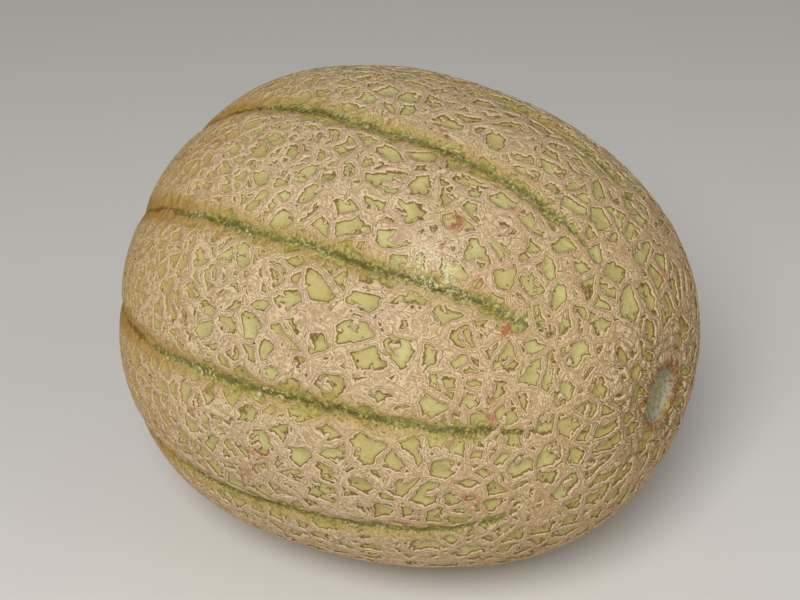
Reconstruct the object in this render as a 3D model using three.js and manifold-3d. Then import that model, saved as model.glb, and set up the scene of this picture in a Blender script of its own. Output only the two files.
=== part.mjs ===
// A whole netted cantaloupe melon lying on its side, in millimetres, +Z up.
// The stem end points along +X, the blossom end along -X, and the fruit rests
// on the small flat spot in the middle of its underside, at z = 0.
// The fruit grew as one piece, so it is one closed body.
import * as THREE from 'three';
import { mergeVertices } from 'three/addons/utils/BufferGeometryUtils.js';
import Module from 'manifold-3d';

// ---- driving dimensions, mm ------------------------------------------------
const HALF_LENGTH = 80.5;        // from the middle to either tip, before the stem hollow
const HALF_WIDTH = 72.2;         // level radius at the middle of the fruit
const HEIGHT_TO_WIDTH = 0.942;   // the fruit is a little flatter than it is wide
const FULLNESS = 2.31;           // 2 is an ellipse, more is boxier
const STEM_TAPER = 0.10;         // narrower towards the stem, fuller towards the blossom
const STEM_LEAN_ACROSS = -0.10;  // the stem grew off the end, to the front (-Y)
const STEM_LEAN_UP = 0.075;      // and upwards; both as tangents seen from the middle
const STEM_LEAN_START = 0.35;    // and only this far towards the stem does it draw the skin

const SUTURE_COUNT = 11;         // sunken lines that run from end to end
const FIRST_SUTURE_DEG = 101.5;  // round from the rear (+Y) side, over the top
const SUTURE_DEPTH = 1.3;
const SUTURE_HALF_WIDTH = 3.6;
const LOBE_DEPTH = 0.7;          // the wide, soft valley on either side of a suture
const LOBE_HALF_WIDTH = 12;
const SUTURE_STEM_START = 0.80;  // towards the stem the sutures fade out between
const SUTURE_STEM_FULL = 0.30;   // these two fractions of the half length
const SUTURE_END_RADIUS = 26;    // and they fade inside this radius at either tip

const STEM_HOLLOW_DEPTH = 3.6;   // the dished end round the stem
const STEM_HOLLOW_RADIUS = 16;
const SCAR_RADIUS = 8.5;         // corky scar where the stem slipped off
const SCAR_DEPTH = 1.1;
const BLOSSOM_DIMPLE_DEPTH = 1.4;
const BLOSSOM_DIMPLE_RADIUS = 9;

const FLAT_DEPTH = 2.1;          // how much of the underside the resting spot takes off

// ---- mesh fineness ---------------------------------------------------------
const STEPS_PER_LOBE = 8;
const STEPS_ALONG = 34;
const STEP_CROWDING = 0.08;      // draws the steps round the fruit towards each suture
const END_CROWDING = 0.10;       // draws the rings towards the two tips

const TURN = 2 * Math.PI;
const FIRST_SUTURE = THREE.MathUtils.degToRad(FIRST_SUTURE_DEG);
const SUTURE_SPACING = TURN / SUTURE_COUNT;

// A smooth hump of height 1 at zero distance.
function hump(distance, halfWidth) {
  return Math.exp(-((distance / halfWidth) ** 2));
}

// The plain outline: distance along the axis and radius, at polar angle `polar`
// from the stem tip.
function outline(polar) {
  const c = Math.cos(polar);
  const s = Math.sin(polar);
  const reach = (Math.abs(c) ** FULLNESS + Math.abs(s) ** FULLNESS) ** (-1 / FULLNESS);
  return { along: HALF_LENGTH * reach * c, radius: HALF_WIDTH * reach * s * (1 - STEM_TAPER * c) };
}

// How far the tips are pulled in: the stem hollow with its scar, or the blossom dimple.
function tipHollow(along, radius) {
  if (along > 0) {
    const scar = SCAR_DEPTH * (1 - THREE.MathUtils.smoothstep(radius, SCAR_RADIUS - 1.5, SCAR_RADIUS + 1.5));
    return -STEM_HOLLOW_DEPTH * hump(radius, STEM_HOLLOW_RADIUS) - scar;
  }
  return BLOSSOM_DIMPLE_DEPTH * hump(radius, BLOSSOM_DIMPLE_RADIUS);
}

// Depth of the sutures and their valleys at angle `around`.
function sutureDepth(along, radius, around) {
  const turns = (around - FIRST_SUTURE) / SUTURE_SPACING;
  const distance = (turns - Math.round(turns)) * SUTURE_SPACING * radius;
  const towardsStem = THREE.MathUtils.smoothstep(along / HALF_LENGTH, SUTURE_STEM_FULL, SUTURE_STEM_START);
  const atTips = THREE.MathUtils.smoothstep(radius, 0, SUTURE_END_RADIUS);
  const groove = SUTURE_DEPTH * hump(distance, SUTURE_HALF_WIDTH);
  const valley = LOBE_DEPTH * hump(distance, LOBE_HALF_WIDTH);
  return (groove + valley) * (1 - towardsStem) * atTips;
}

// The direction, from the middle, that a direction on a straight fruit is drawn to
// when the stem leans.
function leaned(polar, around) {
  const straight = new THREE.Vector3(
    Math.cos(polar),
    Math.sin(polar) * Math.cos(around),
    Math.sin(polar) * Math.sin(around),
  );
  const lean = THREE.MathUtils.smoothstep(straight.x, STEM_LEAN_START, 1);
  straight.y += STEM_LEAN_ACROSS * lean;
  straight.z += STEM_LEAN_UP * lean;
  straight.normalize();
  return { polar: Math.acos(straight.x), around: Math.atan2(straight.z, straight.y) };
}

// One point of the skin. The sutures and the hollows are laid out on a straight
// fruit, then drawn along with the lean of the stem.
function skinPoint(polar, around, target) {
  const straight = outline(polar);
  const sunk = sutureDepth(straight.along, straight.radius, around);
  const pulled = tipHollow(straight.along, straight.radius);
  const turned = leaned(polar, around);
  const { along, radius } = outline(turned.polar);
  target.set(
    along + pulled,
    (radius - sunk) * Math.cos(turned.around),
    (radius - sunk) * Math.sin(turned.around) * HEIGHT_TO_WIDTH,
  );
}

// The skin as a bent sphere whose rows run from the stem tip to the blossom tip.
function skinGeometry() {
  const stepsAround = SUTURE_COUNT * STEPS_PER_LOBE;
  const sphere = new THREE.SphereGeometry(1, stepsAround, STEPS_ALONG);
  const position = sphere.attributes.position;
  const uv = sphere.attributes.uv;
  const point = new THREE.Vector3();
  for (let i = 0; i < position.count; i += 1) {
    const row = Math.round((1 - uv.getY(i)) * STEPS_ALONG) / STEPS_ALONG;
    const polar = Math.PI * row - END_CROWDING * Math.sin(TURN * row);
    // At the two tips every column meets in one point, whatever its angle.
    const column = ((i % (stepsAround + 1)) % stepsAround) / STEPS_PER_LOBE;
    const crowded = column - STEP_CROWDING * Math.sin(TURN * column);
    skinPoint(polar, FIRST_SUTURE + crowded * SUTURE_SPACING, point);
    position.setXYZ(i, point.x, point.y, point.z);
  }
  return sphere;
}

// A solid from a closed geometry, and back again.
function toSolid(wasm, geometry) {
  const bare = geometry.clone();
  bare.deleteAttribute('normal');
  bare.deleteAttribute('uv');
  const merged = mergeVertices(bare, 1e-4);
  const vertProperties = Float32Array.from(merged.attributes.position.array);
  const triVerts = Uint32Array.from(merged.index.array);
  return new wasm.Manifold(new wasm.Mesh({ numProp: 3, vertProperties, triVerts }));
}

function toGeometry(solid) {
  const mesh = solid.getMesh();
  const geometry = new THREE.BufferGeometry();
  geometry.setAttribute('position', new THREE.BufferAttribute(Float32Array.from(mesh.vertProperties), 3));
  geometry.setIndex(new THREE.BufferAttribute(Uint32Array.from(mesh.triVerts), 1));
  geometry.computeVertexNormals();
  return geometry;
}

// The whole fruit: the skin, less what the resting flat takes off its underside,
// moved so that the flat is at z = 0 and the fruit is centred over the origin.
function melonGeometry(wasm) {
  const skin = skinGeometry();
  skin.computeBoundingBox();
  const lowest = skin.boundingBox.min.z;
  const blockHeight = 40;
  const block = new THREE.BoxGeometry(4 * HALF_LENGTH, 4 * HALF_WIDTH, blockHeight);
  block.translate(0, 0, lowest + FLAT_DEPTH - blockHeight / 2);
  const rested = toGeometry(toSolid(wasm, skin).subtract(toSolid(wasm, block)));
  rested.computeBoundingBox();
  const middle = rested.boundingBox.getCenter(new THREE.Vector3());
  rested.translate(-middle.x, -middle.y, -rested.boundingBox.min.z);
  return rested;
}

const wasm = await Module();
wasm.setup();

const rind = new THREE.MeshStandardMaterial({ color: 0xb9a06c, roughness: 0.75, metalness: 0 });
const melon = new THREE.Mesh(melonGeometry(wasm), rind);
melon.name = 'melon';

const group = new THREE.Group();
group.add(melon);

export default group;
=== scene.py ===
"""A whole netted cantaloupe melon on a pale floor.

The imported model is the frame. The fruit is grown over it by Geometry Nodes as one
closed skin: a full, slightly tapered oval with sunken sutures, a dished stem end and
a small resting flat, over which a cork net stands proud. The net is worked out by one
function, net_field, which builds the same nodes for the shape and for the colours, so
the two always agree.

Lengths in the named values are millimetres. The scene itself is in metres.
"""

import math

import bpy
import numpy as np
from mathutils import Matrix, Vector


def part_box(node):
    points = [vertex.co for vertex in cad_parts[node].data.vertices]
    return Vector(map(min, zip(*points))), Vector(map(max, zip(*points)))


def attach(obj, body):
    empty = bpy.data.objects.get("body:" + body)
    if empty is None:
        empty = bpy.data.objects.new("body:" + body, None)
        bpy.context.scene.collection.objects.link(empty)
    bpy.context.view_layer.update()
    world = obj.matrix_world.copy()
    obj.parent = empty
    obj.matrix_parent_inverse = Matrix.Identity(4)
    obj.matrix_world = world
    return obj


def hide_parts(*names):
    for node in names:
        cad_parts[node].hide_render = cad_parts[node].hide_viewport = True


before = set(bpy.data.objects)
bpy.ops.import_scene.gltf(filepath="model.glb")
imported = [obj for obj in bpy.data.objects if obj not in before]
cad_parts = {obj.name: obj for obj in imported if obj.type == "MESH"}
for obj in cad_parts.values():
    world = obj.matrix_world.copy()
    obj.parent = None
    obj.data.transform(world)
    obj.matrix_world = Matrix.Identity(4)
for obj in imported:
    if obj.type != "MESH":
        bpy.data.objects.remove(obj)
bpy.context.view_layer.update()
LOW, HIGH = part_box("melon")

MM = 0.001

# ---- shape, the same driving dimensions as the solid --------------------------
HALF_LENGTH = 80.5
HALF_WIDTH = 72.2
HEIGHT_TO_WIDTH = 0.942
FULLNESS = 2.31
STEM_TAPER = 0.10
STEM_LEAN_ACROSS = -0.10
STEM_LEAN_UP = 0.075
STEM_LEAN_START = 0.35
SUTURE_COUNT = 11
FIRST_SUTURE = math.radians(101.5)
SUTURE_SPACING = math.tau / SUTURE_COUNT
SUTURE_DEPTH = 1.3
SUTURE_HALF_WIDTH = 3.6
LOBE_DEPTH = 0.7
LOBE_HALF_WIDTH = 12
SUTURE_STEM_START = 0.80
SUTURE_STEM_FULL = 0.30
SUTURE_END_RADIUS = 26
STEM_HOLLOW_DEPTH = 3.6
STEM_HOLLOW_RADIUS = 16
SCAR_RADIUS = 8.5
SCAR_DEPTH = 1.1
BLOSSOM_DIMPLE_DEPTH = 1.4
BLOSSOM_DIMPLE_RADIUS = 9
FLAT_DEPTH = 2.1

# ---- the cork net -------------------------------------------------------------
NET_HEIGHT = 0.8             # of the cork over the skin
MAIN_CELL = 6.6              # size of the cells that the main strands close
MAIN_HALF_WIDTH = 0.93
SIDE_CELL = 4.8              # and of those that the side strands would close
SIDE_HALF_WIDTH = 0.65
TOOTH_CELL = 2.6             # little teeth along the edges of the strands
TOOTH_HALF_WIDTH = 0.3
ISLAND_CELL = 4.6            # small openings in the widest cork
ISLAND_WALL = 1.15
NET_FOCUS = 230.0            # the net grows finer towards a point this far along -X
STEM_CROWDING = 0.6          # against that, towards the stem the cells crowd sideways
STEM_PACKING = 0.006         # and along the fruit
STEM_STRETCH_RADIUS = 34.0   # inside this the cells draw out towards the stem
STEM_STRETCH = 0.65
STEM_PACKING_START = 10.0    # along the fruit from its middle
SIDE_SHIFT = (31.0, 7.0, 3.0)        # moves the side strands off the main ones
ISLAND_SHIFT = (3.0, 47.0, 9.0)      # and the small openings off both
ABSENT_DEPTH = 1.5           # how far an absent strand is sunk into the skin
FAR = 200.0                  # further than the two ends of the fruit are apart
SEAM_DEPTH = 0.08
SEED = 4.0                   # which of the many possible nets this one is
SEED_STEP = (17.3, 5.9, 11.7)        # from one of these nets to the next
STEM_HALF = (0, 30)          # along the fruit, the net's own pull towards the stem fades in here

# ---- sutures, stem scar and marks -----------------------------------------------
SUTURE_HALF_WIDTH_SHOWN = 1.8
SUTURE_THREAD_HALF_WIDTH = 0.35      # at the blossom end
SUTURE_LUMPS = 0.5
STEM_SIDE = (20, 40)         # along the fruit, what belongs to the stem fades in here
WRINKLE_SPACING = 3.4        # of the wrinkles that ring the scar
WRINKLE_WANDER = 9           # in radians of their wave
WRINKLE_HEIGHT = 0.26
SCAR_RIM_HEIGHT = 0.9
SCAR_FLOOR_HEIGHT = 1.6      # between the lowest and the highest of its rough floor
RING_SPACING = 0.62          # of the growth rings in the cork
RING_WANDER = 6              # in radians of their wave
BLOOM_PLACE = (30.0, -42.0, 48.0)    # a patch of white bloom over a suture
BLOOM_REACH = 14.0
RUSSET_PLACES = ((30.0, -32.0, 55.0), (52.0, -41.0, 35.0))    # rubbed, rust-brown spots
RUSSET_REACH = 4.0

# ---- colours, as web colours ----------------------------------------------------
SKIN_PALE = "#c0b87c"
SKIN_FULL = "#b3a76b"
SKIN_WARM = "#b3a062"
SKIN_AT_BLOSSOM = "#b8985a"
# painted shade on the skin at the foot of the cork walls
SKIN_AT_STEM = "#ac9b54"
SKIN_MOTTLE = "#a0965a"
SKIN_DOTS = "#857838"
SKIN_IN_FOOT_SHADE = "#937a34"
CORK_TAN = "#cab088"
CORK_PINK = "#c7a88a"
CORK_OCHRE = "#b99f73"
CORK_AT_BLOSSOM = "#bd965f"
CORK_AT_STEM = "#b8945e"
CORK_DULL = "#978052"
CORK_STREAKS = "#83683f"
CORK_FLECKS = "#e8d6b6"
CORK_PORES = "#8b7348"
# a painted highlight just inside the cork's edge
CORK_EDGE_HIGHLIGHT = "#e2cfa6"
SEAM_DARK = "#7a6135"
# the next two: the cork's brown edge together with painted shade at the foot of its wall
SEAM_LIGHT = "#e4d4aa"
EDGE_LINE_AND_FOOT_SHADE = "#5e440d"
EDGE_LINE_AND_FOOT_SHADE_AT_BLOSSOM = "#8c6a32"
RUSSET = "#a35f3c"
SPECKS = "#332b1c"
MARGIN_OLIVE = "#a68a3c"
MARGIN_BROWN = "#a67a34"
SUTURE_DULL = "#93873e"
SUTURE_PALE = "#b3a85d"
SUTURE_GREEN = "#93995e"
SUTURE_PITS = "#433b10"
SUTURE_BLOOM = "#d8cea6"
SUTURE_THREAD = "#76541a"
CORE_GREEN = "#6a6c38"
CORE_DARK = "#4b4a18"
BLOOM_WHITE = "#e2dabb"
# painted shade in the troughs of the wrinkles round the stem scar
CREASE_SHADE = "#7c6030"
SCAR_GREY = "#a39b85"
SCAR_OLIVE = "#9c9660"
SCAR_PALE = "#b4aa80"
SCAR_COOL = "#9f9e8a"
SCAR_CRACKS = "#6b5a36"
SCAR_RIM = "#8f5726"
BUTTON = "#8c7347"
BUTTON_RIM = "#6f5530"
GROUND_SPOT = "#cdba86"
STUDIO_PAPER = "#dcd9d4"

# ---- finish ---------------------------------------------------------------------
SKIN_ROUGHNESS = 0.5
CORK_ROUGHNESS = 0.82
SHEEN = 0.14

# ---- mesh fineness ------------------------------------------------------------
GRID_STEPS = 352
MOST_TRIANGLES = 190_000
TILE_SHARE = 0.97            # of its tile that each cube face fills in the baking map


# ===============================================================================
# Fields: arithmetic on the outputs of nodes
# ===============================================================================
class Field:
    """A value that varies over the fruit, held by one output of a node tree."""

    def __init__(self, tree, socket):
        self.tree = tree
        self.socket = socket

    def node(self, operation, *values):
        node = self.tree.nodes.new("ShaderNodeMath")
        node.operation = operation
        for place, value in enumerate(values):
            feed(self.tree, node.inputs[place], value)
        return Field(self.tree, node.outputs[0])

    def math(self, operation, *others):
        return self.node(operation, self, *others)

    def __add__(self, other):
        return self.node("ADD", self, other)

    def __sub__(self, other):
        return self.node("SUBTRACT", self, other)

    def __mul__(self, other):
        return self.node("MULTIPLY", self, other)

    def __truediv__(self, other):
        return self.node("DIVIDE", self, other)

    def __pow__(self, other):
        return self.node("POWER", self, other)

    def __neg__(self):
        return self.node("MULTIPLY", self, -1.0)

    def __radd__(self, other):
        return self.node("ADD", other, self)

    def __rsub__(self, other):
        return self.node("SUBTRACT", other, self)

    def __rmul__(self, other):
        return self.node("MULTIPLY", other, self)

    def __rtruediv__(self, other):
        return self.node("DIVIDE", other, self)

    def size(self):
        return self.math("ABSOLUTE")

    def step(self, start, end):
        """0 before start, 1 after end and a smooth rise between; start may be past end."""
        node = self.tree.nodes.new("ShaderNodeMapRange")
        node.interpolation_type = "SMOOTHSTEP"
        node.clamp = True
        for name, value in (("Value", self), ("From Min", start), ("From Max", end)):
            feed(self.tree, node.inputs[name], value)
        return Field(self.tree, node.outputs["Result"])

    def hump(self, half_width):
        """1 at zero, falling off smoothly on both sides."""
        share = self / half_width
        return (-(share * share)).math("EXPONENT")

    def larger(self, other):
        return self.math("MAXIMUM", other)

    def smaller(self, other):
        return self.math("MINIMUM", other)

    def blend_larger(self, other, softness):
        return self.math("SMOOTH_MAX", other, softness)


def feed(tree, socket, value):
    """Links a Field to a socket, or sets the socket to a plain value."""
    if isinstance(value, Field):
        tree.links.new(value.socket, socket)
    else:
        socket.default_value = value


def vector(tree, x, y, z):
    node = tree.nodes.new("ShaderNodeCombineXYZ")
    for place, value in enumerate((x, y, z)):
        feed(tree, node.inputs[place], value)
    return Field(tree, node.outputs[0])


def parts(field):
    node = field.tree.nodes.new("ShaderNodeSeparateXYZ")
    feed(field.tree, node.inputs[0], field)
    return [Field(field.tree, out) for out in node.outputs]


def vector_sum(first, second):
    node = first.tree.nodes.new("ShaderNodeVectorMath")
    node.operation = "ADD"
    feed(first.tree, node.inputs[0], first)
    feed(first.tree, node.inputs[1], second)
    return Field(first.tree, node.outputs[0])


def scaled(field, factor):
    node = field.tree.nodes.new("ShaderNodeVectorMath")
    node.operation = "SCALE"
    feed(field.tree, node.inputs[0], field)
    feed(field.tree, node.inputs["Scale"], factor)
    return Field(field.tree, node.outputs[0])


def noise(point, grain, detail=2.0, roughness=0.5, kind="Fac"):
    """Smooth noise from 0 to 1, with lumps about `grain` millimetres apart."""
    node = point.tree.nodes.new("ShaderNodeTexNoise")
    feed(point.tree, node.inputs["Vector"], point)
    node.inputs["Scale"].default_value = 1 / grain
    node.inputs["Detail"].default_value = detail
    node.inputs["Roughness"].default_value = roughness
    return Field(point.tree, node.outputs[kind])


def drift(point, grain, reach, detail=1.0):
    """A wandering vector, up to about `reach` millimetres each way."""
    wander = noise(point, grain, detail, kind="Color")
    centred = vector_sum(wander, (-0.5, -0.5, -0.5))
    return scaled(centred, 2 * reach)


def near(point, place, reach):
    """1 at the place, falling off smoothly to little at `reach` millimetres."""
    node = point.tree.nodes.new("ShaderNodeVectorMath")
    node.operation = "DISTANCE"
    feed(point.tree, node.inputs[0], point)
    feed(point.tree, node.inputs[1], place)
    return Field(point.tree, node.outputs["Value"]).hump(reach * 0.6)


def strand_distance(point, cell):
    """Millimetres from the nearest wall between cells of about this size."""
    node = point.tree.nodes.new("ShaderNodeTexVoronoi")
    node.feature = "DISTANCE_TO_EDGE"
    feed(point.tree, node.inputs["Vector"], point)
    node.inputs["Scale"].default_value = 1 / cell
    return Field(point.tree, node.outputs["Distance"]) * cell


# ===============================================================================
# What lies where on the fruit, for the shape and for the colours alike
# ===============================================================================
NET_OUTPUTS = (
    "Cork Edge", "Seam", "Suture", "Suture Share", "Radius", "Along", "Fineness",
)


def suture_place(rest, along, radius, around):
    """Signed distance from the nearest suture line, and how far the suture has its way."""
    # Sutures wander a little to either side of their meridians.
    wander = (noise(rest, 24) - 0.5) * 3.0 + (noise(rest, 5) - 0.5) * 1.6
    turns = (around - FIRST_SUTURE) / SUTURE_SPACING
    across = (turns - turns.math("ROUND")) * SUTURE_SPACING * radius + wander
    # Their edges are frayed. They narrow to a thread towards the blossom end, and
    # towards the stem the net breaks them up.
    frayed = across.size() + (noise(rest, 0.9, 2) - 0.5) * 2.2 + (noise(rest, 3.0, 1) - 0.5) * 3.4
    broken = (along + 40 * (noise(rest, 4, 1) - 0.5)).step(50, 64)
    thread = SUTURE_THREAD_HALF_WIDTH
    width = thread + (SUTURE_HALF_WIDTH_SHOWN - thread) * along.step(-58, -22)
    width = width * (0.55 + 0.9 * noise(rest, 17, 1))
    width = width * (1 - broken) * radius.step(16, 44) - broken - 1.2 * radius.step(24, 10)
    return across, (frayed - width).step(0.45, -0.45)


def net_place(tree, along, y, z, radius):
    """Where to lay out the net, and how much finer it is there than at the middle.

    Turning the fruit inside out about a far point makes the net finer towards it and
    keeps its cells in shape. Towards the stem they are packed to stay as fine as they
    are at the middle, and round the scar they draw out towards it.
    """
    past_middle = (along - STEM_PACKING_START).larger(0)
    from_focus = along + NET_FOCUS + STEM_PACKING * past_middle * past_middle
    to_focus = from_focus * from_focus + y * y + z * z
    focus_share = (NET_FOCUS ** 2 + HALF_WIDTH ** 2) / to_focus
    pull = (radius / STEM_STRETCH_RADIUS).smaller(1.0).larger(0.05) ** (STEM_STRETCH - 1)
    crowding = 1 + STEM_CROWDING * along.step(0, HALF_LENGTH)
    pull = (1 + (pull - 1) * along.step(*STEM_HALF)) * crowding
    point = scaled(vector(tree, from_focus, y * pull, z * pull), focus_share)
    point = vector_sum(point, [step * SEED for step in SEED_STEP])
    return point, focus_share.larger(0.95)


def net_field(tree, rest):
    """Measures the skin at its smooth place `rest`, in millimetres.

    Cork Edge is the distance inside the edge of the cork, negative on bare skin.
    Seam is the distance from the fine seams in the cork.
    Suture is the distance from the nearest suture line, signed across it.
    Suture Share is 1 where a suture shows and 0 where the net covers it.
    Radius and Along are measured from and along the axis of the fruit.
    Fineness is how much finer the net is here than at the middle of the fruit.
    """
    along, y, z = parts(rest)
    height = z / HEIGHT_TO_WIDTH
    radius = (y * y + height * height).math("SQRT")
    around = height.math("ARCTAN2", y)
    suture, suture_share = suture_place(rest, along, radius, around)
    point, fineness = net_place(tree, along, y, z, radius)
    bent = vector_sum(point, drift(point, 7.0, 1.9))
    bent = vector_sum(bent, drift(point, 1.4, 0.45))

    # Main strands close every cell. Side strands come and go.
    slender = 1 - 0.35 * along.step(-30, -75)
    main_middle = strand_distance(bent, MAIN_CELL)
    cork = MAIN_HALF_WIDTH * (0.45 + 1.1 * noise(point, 9)) * slender - main_middle
    side_share = noise(point, 6, 1).step(0.44, 0.58)
    side_middle = strand_distance(vector_sum(bent, SIDE_SHIFT), SIDE_CELL)
    side_middle = side_middle + (noise(point, 2.2, 1) - 0.5) * 0.5
    side = SIDE_HALF_WIDTH * slender * side_share - side_middle - (1 - side_share) * ABSENT_DEPTH
    cork = cork.blend_larger(side, 0.4)

    # Small openings break up the widest cork.
    island = strand_distance(vector_sum(bent, ISLAND_SHIFT), ISLAND_CELL)
    island = (island - ISLAND_WALL * (0.6 + 0.8 * noise(point, 4, 1))).smaller(cork - 1.0)
    cork = cork.smaller(-island)

    # Teeth and stubs, only close to the strands.
    tooth_share = cork.step(-1.8, -0.5) * noise(point, 3.0, 1).step(0.52, 0.62)
    tooth_middle = strand_distance(vector_sum(point, drift(point, 1.6, 0.5)), TOOTH_CELL)
    tooth = TOOTH_HALF_WIDTH - tooth_middle - (1 - tooth_share) * ABSENT_DEPTH
    cork = cork.blend_larger(tooth, 0.15)
    cork = cork + (noise(point, 0.9) - 0.5) * 0.4

    # No net on the scar.
    past_scar = radius - SCAR_RADIUS + (1 - along.step(*STEM_HALF)) * FAR
    cork = (cork / fineness).smaller(past_scar)
    return cork, tooth_middle / fineness, suture, suture_share, radius, along, fineness


def field_group(kind):
    """The net as a node group, of Geometry Nodes or of shader nodes."""
    tree = bpy.data.node_groups.new("Cork net", kind)
    tree.interface.new_socket("Rest", in_out="INPUT", socket_type="NodeSocketVector")
    for name in NET_OUTPUTS:
        tree.interface.new_socket(name, in_out="OUTPUT", socket_type="NodeSocketFloat")
    start = tree.nodes.new("NodeGroupInput")
    end = tree.nodes.new("NodeGroupOutput")
    fields = net_field(tree, Field(tree, start.outputs["Rest"]))
    for name, field in zip(NET_OUTPUTS, fields):
        feed(tree, end.inputs[name], field)
    return tree


def use_group(tree, group, node_kind, **inputs):
    node = tree.nodes.new(node_kind)
    node.node_tree = group
    for name, value in inputs.items():
        feed(tree, node.inputs[name.replace("_", " ")], value)
    return {out.name: Field(tree, out) for out in node.outputs}


# ===============================================================================
# The fruit, grown by Geometry Nodes
# ===============================================================================
def moved(tree, geometry, position=None, offset=None):
    node = tree.nodes.new("GeometryNodeSetPosition")
    tree.links.new(geometry, node.inputs["Geometry"])
    if position is not None:
        feed(tree, node.inputs["Position"], position)
    if offset is not None:
        feed(tree, node.inputs["Offset"], offset)
    return node.outputs["Geometry"]


def position_of(tree):
    return Field(tree, tree.nodes.new("GeometryNodeInputPosition").outputs[0])


def outline(direction):
    """Distance along the axis and radius of the plain outline, in this unit direction."""
    c = direction[0]
    s = (1 - c * c).larger(0).math("SQRT")
    reach = (c.size() ** FULLNESS + s ** FULLNESS) ** (-1 / FULLNESS)
    return HALF_LENGTH * reach * c, HALF_WIDTH * reach * s * (1 - STEM_TAPER * c)


def unit(x, y, z):
    reach = (x * x + y * y + z * z).math("SQRT")
    return x / reach, y / reach, z / reach


def smooth_places(tree):
    """Where each point of a unit cube goes on a straight fruit and on the leaning one.

    The net and the sutures are laid out on the straight one. Both in millimetres.
    """
    # Even steps across the cube's faces become even turns of the direction.
    even = [(axis * (math.pi / 2)).math("TANGENT") for axis in parts(position_of(tree))]
    straight = unit(*even)
    along, radius = outline(straight)
    around = straight[2].math("ARCTAN2", straight[1])

    turns = (around - FIRST_SUTURE) / SUTURE_SPACING
    across = (turns - turns.math("ROUND")) * SUTURE_SPACING * radius
    towards_stem = (along / HALF_LENGTH).step(SUTURE_STEM_FULL, SUTURE_STEM_START)
    groove = SUTURE_DEPTH * across.hump(SUTURE_HALF_WIDTH)
    valley = LOBE_DEPTH * across.hump(LOBE_HALF_WIDTH)
    sunk = (groove + valley) * (1 - towards_stem) * radius.step(0, SUTURE_END_RADIUS)

    scar = SCAR_DEPTH * radius.step(SCAR_RADIUS + 1.5, SCAR_RADIUS - 1.5)
    stem_hollow = STEM_HOLLOW_DEPTH * radius.hump(STEM_HOLLOW_RADIUS) + scar
    dimple = BLOSSOM_DIMPLE_DEPTH * radius.hump(BLOSSOM_DIMPLE_RADIUS)
    stem_side = straight[0].step(-0.05, 0.05)
    pulled = dimple * (1 - stem_side) - stem_hollow * stem_side

    def skin(along, radius, around):
        grooved = radius - sunk
        y = grooved * around.math("COSINE")
        z = grooved * around.math("SINE") * HEIGHT_TO_WIDTH
        return vector(tree, along + pulled, y, z)

    lean = straight[0].step(STEM_LEAN_START, 1)
    across_lean = straight[1] + STEM_LEAN_ACROSS * lean
    leaning = unit(straight[0], across_lean, straight[2] + STEM_LEAN_UP * lean)
    leaning_around = leaning[2].math("ARCTAN2", leaning[1])
    return skin(along, radius, around), skin(*outline(leaning), leaning_around)


def stem_wrinkles(rest, radius):
    """A wave, from -1 to 1, that rings the stem scar."""
    turns = noise(rest, 7) * WRINKLE_WANDER + radius * (math.tau / WRINKLE_SPACING)
    return turns.math("SINE")


def relief(net, rest):
    """Height of the finished skin over the smooth one, in millimetres."""
    cork = net["Cork Edge"]
    radius = net["Radius"]
    along = net["Along"]
    wall = cork.step(-0.18, 0.32)
    crown = 0.80 + 0.20 * cork.step(0.3, 1.5)
    lumps = 0.80 + 0.5 * (noise(rest, 2.6) - 0.2)
    thin = 1 - 0.7 * (net["Fineness"] - 1).larger(0).smaller(1)
    high = wall * crown * lumps * thin * (1 - 0.85 * net["Suture Share"])
    seams = net["Seam"].hump(0.22) * cork.step(0.3, 0.6) * noise(rest, 5, 1).step(0.5, 0.6)
    # Wrinkles round the scar, a raised rim and a rough floor inside it.
    wrinkles = stem_wrinkles(rest, radius) * WRINKLE_HEIGHT
    wrinkles = wrinkles * radius.step(10, 12) * radius.step(24, 14)
    rim = (radius - SCAR_RADIUS - 1.2 + 2 * (noise(rest, 4) - 0.5)).hump(1.3) * SCAR_RIM_HEIGHT
    floor = (noise(rest, 2.2, 3) - 0.5) * SCAR_FLOOR_HEIGHT * radius.step(8, 6.5)
    stem = (wrinkles + rim + floor) * along.step(*STEM_SIDE)
    lumpy = (noise(rest, 1.6, 3) - 0.5) * SUTURE_LUMPS * net["Suture Share"]
    return high * NET_HEIGHT - seams * SEAM_DEPTH + stem + lumpy


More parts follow.
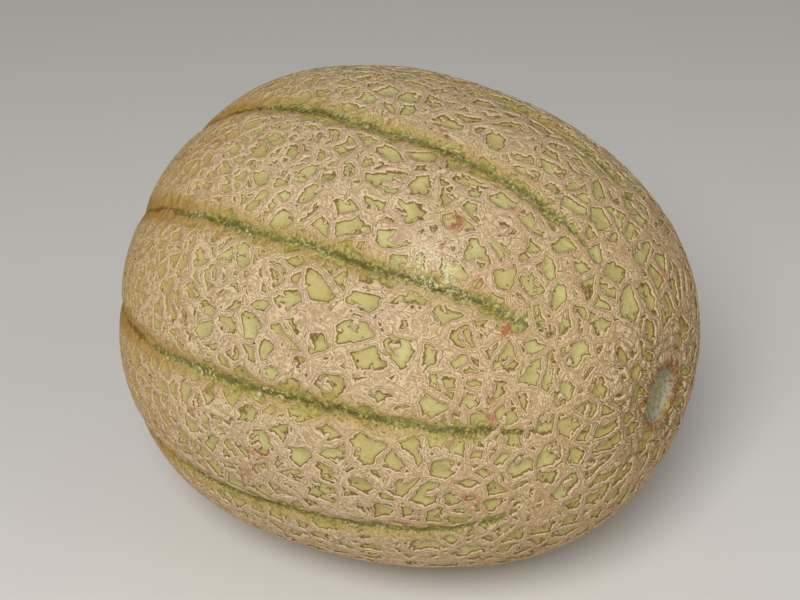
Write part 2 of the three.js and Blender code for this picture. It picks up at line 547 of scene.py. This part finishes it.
def skin_tree(net_group):
    tree = bpy.data.node_groups.new("Grown melon", "GeometryNodeTree")
    face = tree.interface
    face.new_socket("Grid Steps", in_out="INPUT", socket_type="NodeSocketInt")
    face.new_socket("Resting Height", in_out="INPUT", socket_type="NodeSocketFloat")
    face.new_socket("Middle", in_out="INPUT", socket_type="NodeSocketVector")
    face.new_socket("Rind", in_out="INPUT", socket_type="NodeSocketMaterial")
    face.new_socket("Geometry", in_out="OUTPUT", socket_type="NodeSocketGeometry")
    given = tree.nodes.new("NodeGroupInput").outputs
    steps = Field(tree, given["Grid Steps"])

    cube = tree.nodes.new("GeometryNodeMeshCube")
    for side in ("Vertices X", "Vertices Y", "Vertices Z"):
        feed(tree, cube.inputs[side], steps)
    straight_place, leaning_place = smooth_places(tree)
    keep = tree.nodes.new("GeometryNodeStoreNamedAttribute")
    keep.data_type = "FLOAT_VECTOR"
    keep.domain = "POINT"
    keep.inputs["Name"].default_value = "rest"
    tree.links.new(cube.outputs["Mesh"], keep.inputs["Geometry"])
    feed(tree, keep.inputs["Value"], straight_place)
    smooth = moved(tree, keep.outputs["Geometry"], position=leaning_place)

    # Flatten the skin where it rests, leaving room for the cork.
    bounds = tree.nodes.new("GeometryNodeBoundBox")
    tree.links.new(smooth, bounds.inputs["Geometry"])
    low = parts(Field(tree, bounds.outputs["Min"]))
    high = parts(Field(tree, bounds.outputs["Max"]))
    resting = low[2] + FLAT_DEPTH
    x, y, z = parts(position_of(tree))
    flat = vector(tree, x, y, z.larger(resting + NET_HEIGHT * 0.8))
    rested = moved(tree, smooth, position=flat)

    rest = tree.nodes.new("GeometryNodeInputNamedAttribute")
    rest.data_type = "FLOAT_VECTOR"
    rest.inputs["Name"].default_value = "rest"
    rest = Field(tree, rest.outputs["Attribute"])
    net = use_group(tree, net_group, "GeometryNodeGroup", Rest=rest)
    normal = Field(tree, tree.nodes.new("GeometryNodeInputNormal").outputs["Normal"])
    netted = moved(tree, rested, offset=scaled(normal, relief(net, rest)))
    x, y, z = parts(position_of(tree))
    level = moved(tree, netted, position=vector(tree, x, y, z.larger(resting)))

    # Into place over the frame, in metres.
    mid_x, mid_y, _ = parts(Field(tree, given["Middle"]))
    x, y, z = parts(position_of(tree))
    placed = moved(tree, level, position=vector(
        tree,
        (x - (low[0] + high[0]) / 2) * MM + mid_x,
        (y - (low[1] + high[1]) / 2) * MM + mid_y,
        (z - resting) * MM + Field(tree, given["Resting Height"]),
    ))
    real = tree.nodes.new("GeometryNodeRealizeInstances")
    tree.links.new(placed, real.inputs["Geometry"])
    paint = tree.nodes.new("GeometryNodeSetMaterial")
    tree.links.new(real.outputs["Geometry"], paint.inputs["Geometry"])
    tree.links.new(given["Rind"], paint.inputs["Material"])
    end = tree.nodes.new("NodeGroupOutput")
    tree.links.new(paint.outputs["Geometry"], end.inputs["Geometry"])
    return tree


def socket_id(tree, name):
    return next(item.identifier for item in tree.interface.items_tree if item.name == name)


def plain_mesh(thing, name):
    """The evaluated shape of an object as a mesh of its own."""
    depsgraph = bpy.context.evaluated_depsgraph_get()
    mesh = bpy.data.meshes.new_from_object(thing.evaluated_get(depsgraph), depsgraph=depsgraph)
    mesh.name = name
    return mesh


def map_for_baking(mesh):
    """Lays the skin out flat as six cube faces, three across and two up, for baking."""
    points = np.empty(len(mesh.vertices) * 3)
    mesh.attributes["rest"].data.foreach_get("vector", points)
    turned = points.reshape(-1, 3) / (HALF_LENGTH, HALF_WIDTH, HALF_WIDTH * HEIGHT_TO_WIDTH)
    corners = np.empty(len(mesh.loops), dtype=np.int64)
    mesh.loops.foreach_get("vertex_index", corners)
    sides = np.empty(len(mesh.polygons), dtype=np.int64)
    mesh.polygons.foreach_get("loop_total", sides)
    first = np.concatenate(([0], np.cumsum(sides)[:-1]))
    face_of = np.repeat(np.arange(len(sides)), sides)
    middle = np.add.reduceat(turned[corners], first)
    axis = np.abs(middle).argmax(axis=1)
    ahead = np.take_along_axis(middle, axis[:, None], 1)[:, 0] > 0
    corner_axis = axis[face_of]
    here = turned[corners]
    depth = np.abs(np.take_along_axis(here, corner_axis[:, None], 1)[:, 0])
    across = np.take_along_axis(here, ((corner_axis + 1) % 3)[:, None], 1)[:, 0]
    upward = np.take_along_axis(here, ((corner_axis + 2) % 3)[:, None], 1)[:, 0]
    flat = np.arctan2(np.stack([across, upward], 1), depth[:, None]) * (2 / math.pi)
    tile = np.stack([corner_axis, ahead[face_of]], 1)
    layout = (tile + 0.5 + flat * TILE_SHARE) / (3, 2)
    mesh.uv_layers.new(name="OFBake").data.foreach_set("uv", layout.ravel())


def grow_melon(net_group, rind):
    """The finished fruit: one closed skin with its net."""
    melon = bpy.data.objects.new("melon_rind", bpy.data.meshes.new("melon_rind"))
    bpy.context.scene.collection.objects.link(melon)
    tree = skin_tree(net_group)
    grow = melon.modifiers.new("Grow", "NODES")
    grow.node_group = tree
    grow[socket_id(tree, "Grid Steps")] = GRID_STEPS
    grow[socket_id(tree, "Resting Height")] = LOW.z
    grow[socket_id(tree, "Middle")] = (LOW + HIGH) / 2
    grow[socket_id(tree, "Rind")] = rind
    grown = plain_mesh(melon, "melon_skin")
    melon.modifiers.remove(grow)
    melon.data = grown
    triangles = sum(len(face.vertices) - 2 for face in grown.polygons)
    if triangles > MOST_TRIANGLES:
        thin = melon.modifiers.new("Thin", "DECIMATE")
        thin.ratio = MOST_TRIANGLES / triangles
        thin.use_collapse_triangulate = True
        melon.data = plain_mesh(melon, "melon_rind")
        melon.modifiers.remove(melon.modifiers[0])
    melon.data.shade_smooth()
    map_for_baking(melon.data)
    return melon


# ===============================================================================
# The rind's colours
# ===============================================================================
def linear(code):
    """A linear colour from a web colour."""
    values = [int(code[place:place + 2], 16) / 255 for place in (1, 3, 5)]
    return (*[v / 12.92 if v <= 0.04045 else ((v + 0.055) / 1.055) ** 2.4 for v in values], 1)


def mixed(share, first, second):
    """The first colour where share is 0, the second where it is 1."""
    node = share.tree.nodes.new("ShaderNodeMix")
    node.data_type = "RGBA"
    feed(share.tree, node.inputs[0], share)
    for socket, value in ((node.inputs[6], first), (node.inputs[7], second)):
        feed(share.tree, socket, linear(value) if isinstance(value, str) else value)
    return Field(share.tree, node.outputs[2])


def rest_place(tree):
    """The smooth place that the skin was grown from, kept with the mesh."""
    attribute = tree.nodes.new("ShaderNodeAttribute")
    attribute.attribute_name = "rest"
    return Field(tree, attribute.outputs["Vector"])


class RindPlace:
    """What the colours go by at a place on the rind."""

    def __init__(self, rest, net):
        self.rest = rest
        self.cork_edge = net["Cork Edge"]
        self.seam = net["Seam"]
        self.suture = net["Suture"]
        self.suture_share = net["Suture Share"]
        self.radius = net["Radius"]
        self.along = net["Along"]

        # The edge of the cork as it would be in the net at the middle of the fruit.
        self.full_edge = self.cork_edge * net["Fineness"]

        # The two ends of the fruit.
        self.on_stem = self.along.step(*STEM_SIDE)
        self.at_stem = self.on_stem * self.radius.step(46, 18)
        self.at_blossom = self.along.step(-12, -62)

        # The cork's own grain, and growth rings that follow the strands.
        self.grain = noise(rest, 0.34, 2)
        self.coarse = noise(rest, 1.1, 2)
        ring_turns = self.cork_edge * (math.tau / RING_SPACING) + RING_WANDER * noise(rest, 2.6, 2)
        self.rings = ring_turns.math("SINE") * 0.5 + 0.5
        self.inside = self.cork_edge.step(0.3, 0.5)


def skin_colour(at):
    """Bare skin between the strands, with painted shade at their feet, where the cork walls stand.
    """
    rest = at.rest
    skin = mixed(noise(rest, 8, 2).step(0.35, 0.65), SKIN_PALE, SKIN_FULL)
    skin = mixed(noise(rest, 26, 1).step(0.4, 0.7) * 0.5, skin, SKIN_WARM)
    skin = mixed(at.at_blossom * 0.9, skin, SKIN_AT_BLOSSOM)
    skin = mixed(at.at_stem * 0.85, skin, SKIN_AT_STEM)
    skin = mixed(noise(rest, 1.3, 2).step(0.45, 0.75) * 0.35, skin, SKIN_MOTTLE)
    dots = noise(rest, 0.75, 1).step(0.66, 0.74)
    skin = mixed(dots * (0.6 - 0.4 * at.at_blossom), skin, SKIN_DOTS)
    # Painted shade on the skin at the foot of the cork walls.
    foot_shade = at.full_edge.step(-0.9, -0.1)
    return mixed(foot_shade * (0.30 - 0.2 * at.at_blossom), skin, SKIN_IN_FOOT_SHADE)


def cork_colour(at):
    """Cork: streaks along the strands, pale flecks, pores, a few seams and a cream painted
    highlight along its edge.
    """
    rest = at.rest
    cork = mixed(noise(rest, 4, 2).step(0.35, 0.65), CORK_TAN, CORK_PINK)
    cork = mixed(noise(rest, 13, 2).step(0.4, 0.7) * 0.5, cork, CORK_OCHRE)
    cork = mixed(at.at_blossom * 0.8, cork, CORK_AT_BLOSSOM)
    cork = mixed(at.along.step(20, 62) * 0.45, cork, CORK_AT_STEM)
    cork = mixed(at.coarse.step(0.45, 0.62) * 0.25, cork, CORK_DULL)

    streaks = at.rings.step(0.45, 0.95) * (0.5 + 0.35 * at.at_stem) * (1 - 0.4 * at.at_blossom)
    cork = mixed(streaks * at.grain.step(0.40, 0.54), cork, CORK_STREAKS)
    flecks = at.grain.step(0.53, 0.61) * (1 - at.rings * 0.8)
    cork = mixed(flecks * 0.5, cork, CORK_FLECKS)
    pores = at.grain.step(0.45, 0.37)
    cork = mixed(pores * (0.45 - 0.25 * at.at_blossom), cork, CORK_PORES)

    some_seams = at.inside * noise(rest, 5, 1).step(0.5, 0.6)
    cork = mixed(at.seam.hump(0.15) * some_seams * 0.6, cork, SEAM_DARK)
    cork = mixed((at.seam - 0.28).hump(0.12) * some_seams * 0.6, cork, SEAM_LIGHT)
    # Painted highlight just inside the cork's edge, where its wall rounds over.
    edge_highlight = (at.cork_edge - 0.2).hump(0.1)
    return mixed(edge_highlight * (0.55 - 0.15 * at.at_blossom), cork, CORK_EDGE_HIGHLIGHT)


def netted_colour(at):
    """Skin and cork together, with a dark line where the cork meets the skin: the cork's brown edge
    and painted shade at the foot of its wall.
    """
    surface = mixed(at.cork_edge.step(-0.04, 0.08), skin_colour(at), cork_colour(at))
    # The cork's brown edge, together with painted shade at the foot of the cork walls.
    edge_and_shade_colour = mixed(at.at_blossom, EDGE_LINE_AND_FOOT_SHADE, EDGE_LINE_AND_FOOT_SHADE_AT_BLOSSOM)
    edge_and_shade = (at.full_edge + 0.04).hump(0.13) * (0.85 - 0.45 * at.at_blossom)
    return mixed(edge_and_shade, surface, edge_and_shade_colour)


def with_marks(at, surface):
    """Faint russet smears, a few rubbed spots and a few tiny dark specks."""
    rest = at.rest
    rubbed = sum((near(rest, place, RUSSET_REACH) for place in RUSSET_PLACES), 0.0)
    russet = noise(rest, 11, 1).step(0.66, 0.74) * 0.5 + rubbed * 1.3
    russet = russet * noise(rest, 1.4, 2).step(0.40, 0.60)
    surface = mixed(russet.smaller(0.85), surface, RUSSET)
    specks = noise(rest, 1.2, 0).step(0.815, 0.83)
    return mixed(specks * 0.8, surface, SPECKS)


def suture_colour(at):
    """A dark green core and yellower sides, mottled, with a pale bloom here and there.

    Towards the blossom end only a thread of brown is left.
    """
    rest = at.rest
    tint = noise(rest, 1.2, 4, 0.65)
    speckle = noise(rest, 0.8, 3, 0.7)
    green = mixed(tint.step(0.40, 0.60), SUTURE_DULL, SUTURE_PALE)
    green = mixed(noise(rest, 4, 2).step(0.50, 0.62) * 0.5, green, SUTURE_GREEN)
    core = (at.suture + 2.6 * (noise(rest, 3, 2) - 0.5)).hump(1.35)
    core_colour = mixed(noise(rest, 22, 1).step(0.42, 0.58), CORE_GREEN, CORE_DARK)
    green = mixed(core * tint.step(0.66, 0.50) * 0.92, green, core_colour)
    green = mixed(speckle.step(0.47, 0.38) * 0.7, green, SUTURE_PITS)
    bloom = speckle.step(0.55, 0.65) * noise(rest, 10, 1).step(0.42, 0.56)
    green = mixed(bloom * 0.85, green, SUTURE_BLOOM)
    return mixed(at.along.step(-36, -54), green, SUTURE_THREAD)


def with_sutures(at, surface):
    """The sutures between their brownish margins, and the patch of bloom over one."""
    rest = at.rest
    beside = at.suture.size() + 3 * (noise(rest, 2.5, 2) - 0.5) + 5 * at.radius.step(42, 14)
    margin = beside.step(6.5, 1.5) * at.along.step(56, 30)
    surface = mixed(margin * 0.6, surface, MARGIN_OLIVE)
    surface = mixed(beside.step(5.5, 2.0) * at.at_blossom * 0.6, surface, MARGIN_BROWN)

    # The cells next to a suture are as green as it is.
    green_cell = beside.step(4.2, 2.6) * at.cork_edge.step(0.1, -0.25) * at.along.step(64, 54)
    shown = at.suture_share.larger(green_cell * 0.9 * (1 - at.at_blossom))
    surface = mixed(shown * 0.92, surface, suture_colour(at))

    white = noise(rest, 0.5, 2).step(0.49, 0.58) * near(rest, BLOOM_PLACE, BLOOM_REACH)
    white = white * noise(rest, 3, 1).step(0.34, 0.50)
    return mixed(white * 0.75, surface, BLOOM_WHITE)


def scar_colour(at):
    """The corky scar: grey round an olive middle, with pale lumps and dark cracks."""
    rest = at.rest
    scar = mixed(at.radius.step(6.8, 3.8), SCAR_GREY, SCAR_OLIVE)
    scar = mixed(noise(rest, 2.4, 3).step(0.4, 0.62) * 0.5, scar, SCAR_PALE)
    scar = mixed(noise(rest, 4.5, 1).step(0.48, 0.6) * 0.5, scar, SCAR_COOL)
    return mixed(noise(rest, 0.8, 2).step(0.53, 0.62) * 0.7, scar, SCAR_CRACKS)


def with_stem_end(at, surface):
    """Brown painted shade in the creases between the wrinkles, and the scar where the stem slipped
    off within a rusty rim.
    """
    rest = at.rest
    # Painted shade: brown darkening in the troughs of the wrinkles round the scar.
    crease_shade = stem_wrinkles(rest, at.radius).step(-0.3, -0.95) * at.radius.step(26, 16) * at.on_stem
    surface = mixed(crease_shade * 0.4, surface, CREASE_SHADE)
    reach = at.radius + 3 * (noise(rest, 5, 2) - 0.5)
    surface = mixed(reach.step(9.4, 8.2) * at.on_stem, surface, scar_colour(at))
    rim = (reach - 9.6).hump(1.1) * at.on_stem * noise(rest, 3, 1).step(0.3, 0.6)
    return mixed(rim * 0.85, surface, SCAR_RIM)


def with_blossom_end(at, surface):
    """The blossom end's own small scar."""
    reach = at.radius + 1.6 * (noise(at.rest, 3, 2) - 0.5) + FAR * at.along.step(-60, -40)
    surface = mixed(reach.step(4.6, 3.6), surface, BUTTON)
    return mixed((reach - 4.4).hump(0.8) * 0.7, surface, BUTTON_RIM)


def with_ground_spot(at, surface):
    """The paler spot that the fruit lay on as it grew."""
    height = parts(at.rest)[2]
    lowest = (height + 8 * (noise(at.rest, 12, 1) - 0.5)).step(-52, -63)
    return mixed(lowest * 0.55, surface, GROUND_SPOT)


def fine_relief(at):
    """Relief too fine for the mesh, in millimetres."""
    ring_height = 0.1 + 0.16 * at.at_stem
    fine = (at.grain - 0.5) * 0.26 + (at.coarse - 0.5) * 0.2 + at.rings * at.inside * ring_height
    return fine


def rind_material(net_group):
    rind = bpy.data.materials.new("netted_rind")
    rind.use_nodes = True
    tree = rind.node_tree
    tree.nodes.clear()
    rest = rest_place(tree)
    at = RindPlace(rest, use_group(tree, net_group, "ShaderNodeGroup", Rest=rest))

    surface = netted_colour(at)
    for layer in (with_marks, with_sutures, with_stem_end, with_blossom_end, with_ground_spot):
        surface = layer(at, surface)

    shader = tree.nodes.new("ShaderNodeBsdfPrincipled")
    feed(tree, shader.inputs["Base Color"], surface)
    cork_share = at.cork_edge.step(-0.1, 0.2)
    roughness = SKIN_ROUGHNESS + (CORK_ROUGHNESS - SKIN_ROUGHNESS) * cork_share
    feed(tree, shader.inputs["Roughness"], roughness)
    shader.inputs["Specular IOR Level"].default_value = SHEEN
    bump = tree.nodes.new("ShaderNodeBump")
    bump.inputs["Distance"].default_value = 1.0
    feed(tree, bump.inputs["Height"], fine_relief(at) * MM)
    tree.links.new(bump.outputs["Normal"], shader.inputs["Normal"])
    out = tree.nodes.new("ShaderNodeOutputMaterial")
    tree.links.new(shader.outputs["BSDF"], out.inputs["Surface"])
    return rind


# ===============================================================================
# The studio
# ===============================================================================
AXIS_MIDDLE = (0.4, 0.2, 66.1)   # the middle of the fruit's axis, over the frame's origin
CAMERA_DISTANCE = 458.5
CAMERA_AZIMUTH = math.radians(29.5)
CAMERA_ELEVATION = math.radians(32.2)
CAMERA_LENS = 72
SENSOR_WIDTH = 36
AIM_LEFT = 3.7                   # of the middle, to set the fruit in the picture
AIM_UP = 5.5

# Lamp places and sizes, and the floor, are in metres and powers in watts.
KEY_POWER = 7.4
KEY_SIZE = 0.4
KEY_AHEAD = 0.9
KEY_UP = 0.18
KEY_LEFT = 0.15
FILL_PLACE = (0.95, 0.1, 0.55)
FILL_POWER = 1.6
FILL_SIZE = 0.9
SKY_COLOUR = (1, 0.99, 0.97, 1)
SKY_STRENGTH = 0.23
FLOOR_REACH = 3.0


def make_floor():
    mesh = bpy.data.meshes.new("studio_floor")
    reach = FLOOR_REACH
    corners = [(-reach, -reach, 0), (reach, -reach, 0), (reach, reach, 0), (-reach, reach, 0)]
    mesh.from_pydata(corners, [], [(0, 1, 2, 3)])
    floor = bpy.data.objects.new("studio_floor", mesh)
    bpy.context.scene.collection.objects.link(floor)
    paper = bpy.data.materials.new("studio_paper")
    paper.use_nodes = True
    shader = paper.node_tree.nodes["Principled BSDF"]
    shader.inputs["Base Color"].default_value = linear(STUDIO_PAPER)
    shader.inputs["Roughness"].default_value = 0.9
    mesh.materials.append(paper)


def make_light(name, place, target, power, size):
    lamp = bpy.data.lights.new(name, "AREA")
    lamp.energy = power
    lamp.shape = "DISK"
    lamp.size = size
    light = bpy.data.objects.new(name, lamp)
    light.location = place
    light.rotation_euler = (Vector(target) - Vector(place)).to_track_quat("-Z", "Y").to_euler()
    bpy.context.scene.collection.objects.link(light)


def make_studio():
    scene = bpy.context.scene
    middle = Vector(AXIS_MIDDLE) * MM
    back = Vector((
        math.sin(CAMERA_AZIMUTH) * math.cos(CAMERA_ELEVATION),
        -math.cos(CAMERA_AZIMUTH) * math.cos(CAMERA_ELEVATION),
        math.sin(CAMERA_ELEVATION),
    ))
    right = Vector((math.cos(CAMERA_AZIMUTH), math.sin(CAMERA_AZIMUTH), 0))
    up = back.cross(right)
    lens = bpy.data.cameras.new("camera")
    lens.lens = CAMERA_LENS
    lens.sensor_width = SENSOR_WIDTH
    lens.clip_start = 0.01
    camera = bpy.data.objects.new("camera", lens)
    camera.location = middle + back * (CAMERA_DISTANCE * MM)
    aim = middle + (up * AIM_UP - right * AIM_LEFT) * MM
    camera.rotation_euler = (aim - camera.location).to_track_quat("-Z", "Y").to_euler()
    scene.collection.objects.link(camera)
    scene.camera = camera

    key_place = middle + back * KEY_AHEAD + up * KEY_UP - right * KEY_LEFT
    make_light("key", key_place, middle, KEY_POWER, KEY_SIZE)
    make_light("fill", middle + Vector(FILL_PLACE), middle, FILL_POWER, FILL_SIZE)
    world = bpy.data.worlds.new("studio")
    world.use_nodes = True
    sky = world.node_tree.nodes["Background"]
    sky.inputs["Color"].default_value = SKY_COLOUR
    sky.inputs["Strength"].default_value = SKY_STRENGTH
    scene.world = world
    scene.view_settings.view_transform = "Standard"


rind = rind_material(field_group("ShaderNodeTree"))
melon = grow_melon(field_group("GeometryNodeTree"), rind)
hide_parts("melon")
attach(melon, "root")
make_floor()
make_studio()
